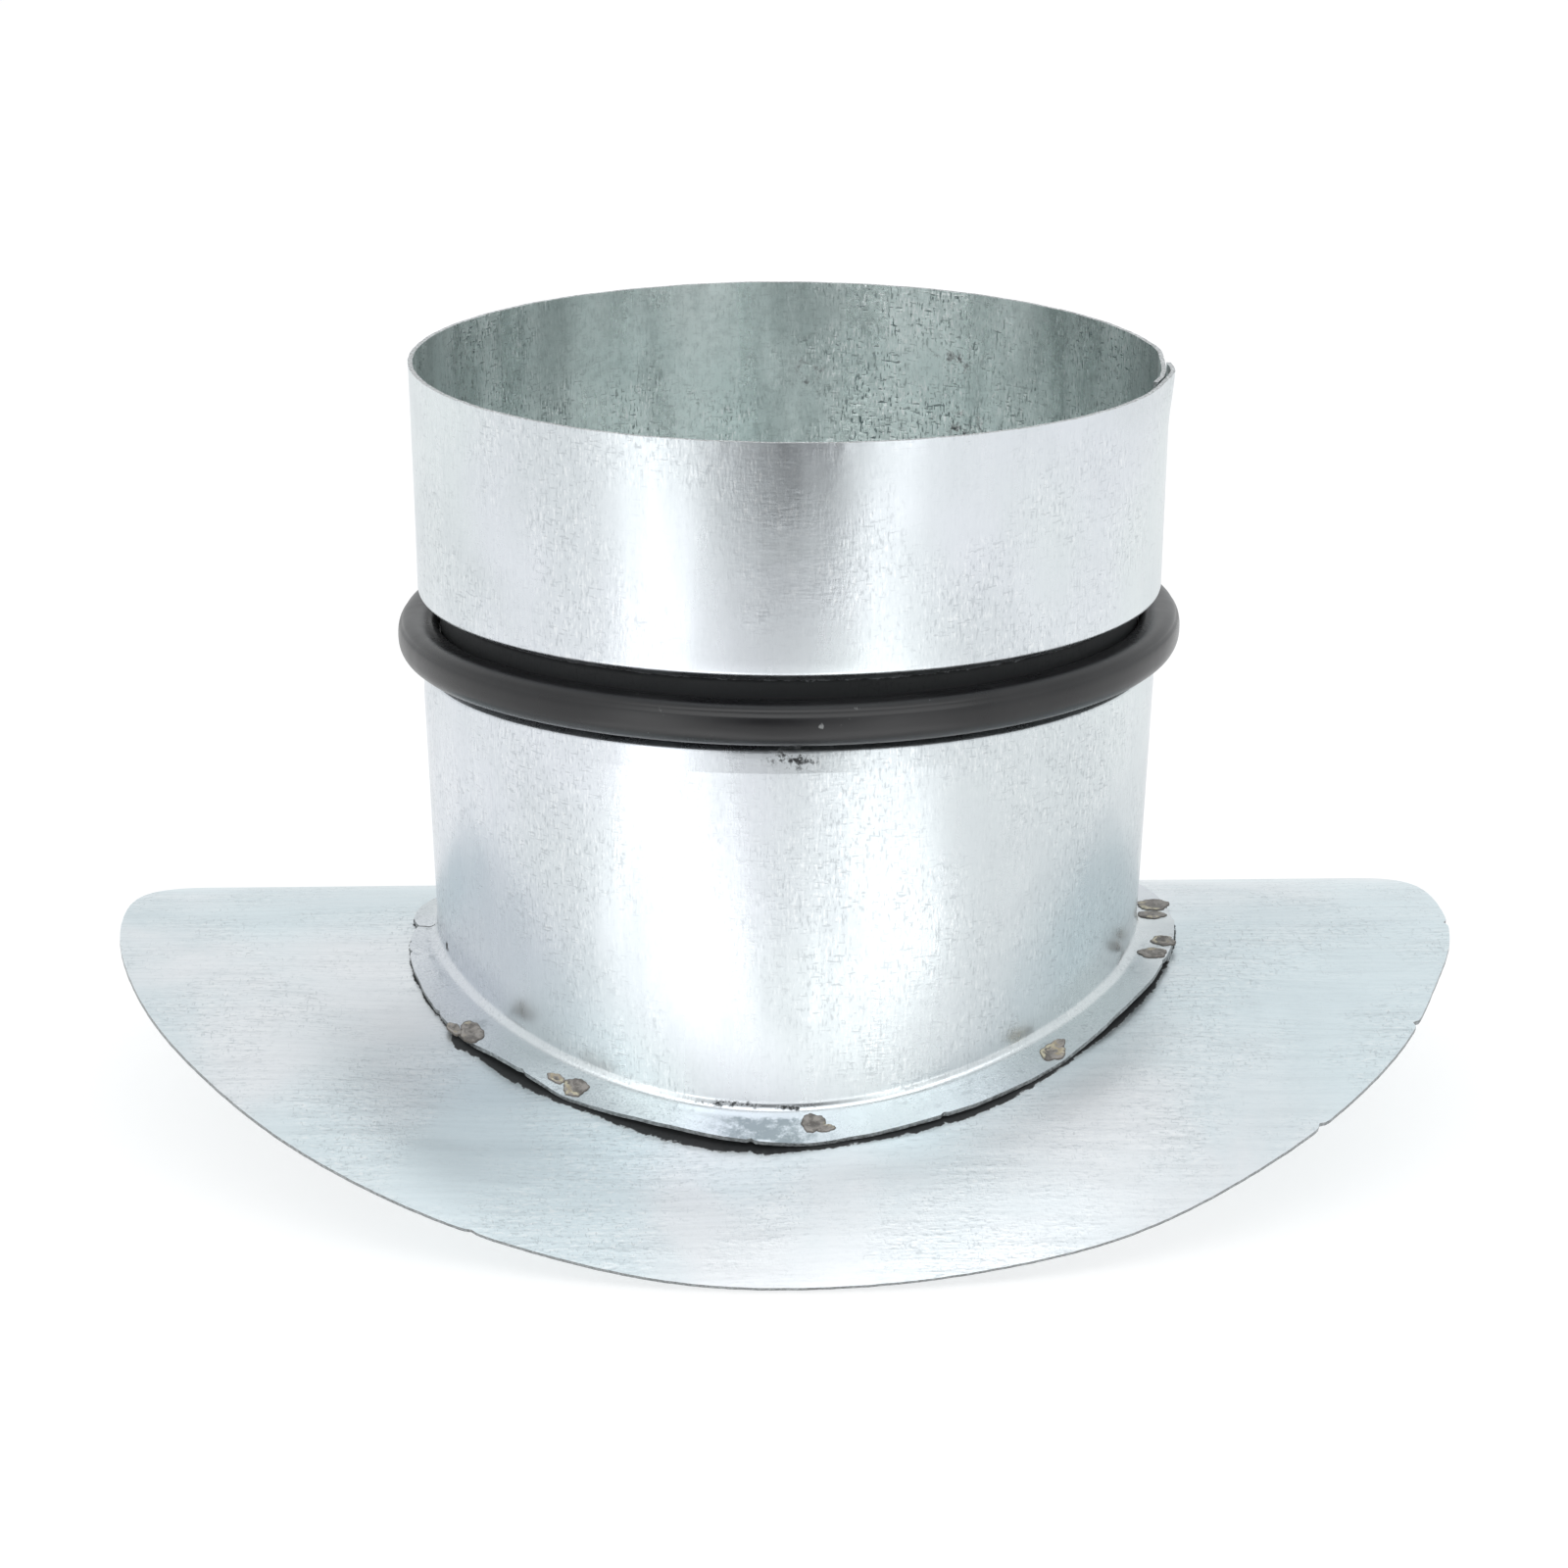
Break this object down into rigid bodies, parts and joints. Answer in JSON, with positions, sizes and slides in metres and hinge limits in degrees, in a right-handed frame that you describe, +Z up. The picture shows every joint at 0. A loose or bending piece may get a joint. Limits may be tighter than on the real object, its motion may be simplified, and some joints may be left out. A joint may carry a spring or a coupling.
{
  "type": "duct saddle collar",
  "caption": "Sheet-steel saddle collar for round ducts: a short round spigot with a rubber seal ring, spot-welded to an oval plate curved to sit on a larger duct.",
  "frame": {"origin": "where the collar's axis meets the outside of the main duct, at the crest of the saddle plate's underside", "axes": "+Z up the collar's axis to its rim, X along the main duct, +Y across the main duct"},
  "size_m": [0.179, 0.1402, 0.1028],
  "materials": {
    "galvanised_plate": "bright galvanised sheet, brushed along the plate",
    "galvanised_collar": "bright galvanised sheet, drawn streaks up the collar",
    "seal_rubber": "satin black rubber",
    "weld_spots": "burnt grey-brown spot welds"
  },
  "bodies": {
    "root": {"saddle_plate": "galvanised_plate", "collar": "galvanised_collar", "seal_ring": "seal_rubber", "flange_welds": "weld_spots", "seam_welds": "weld_spots"}
  },
  "joints": []
}
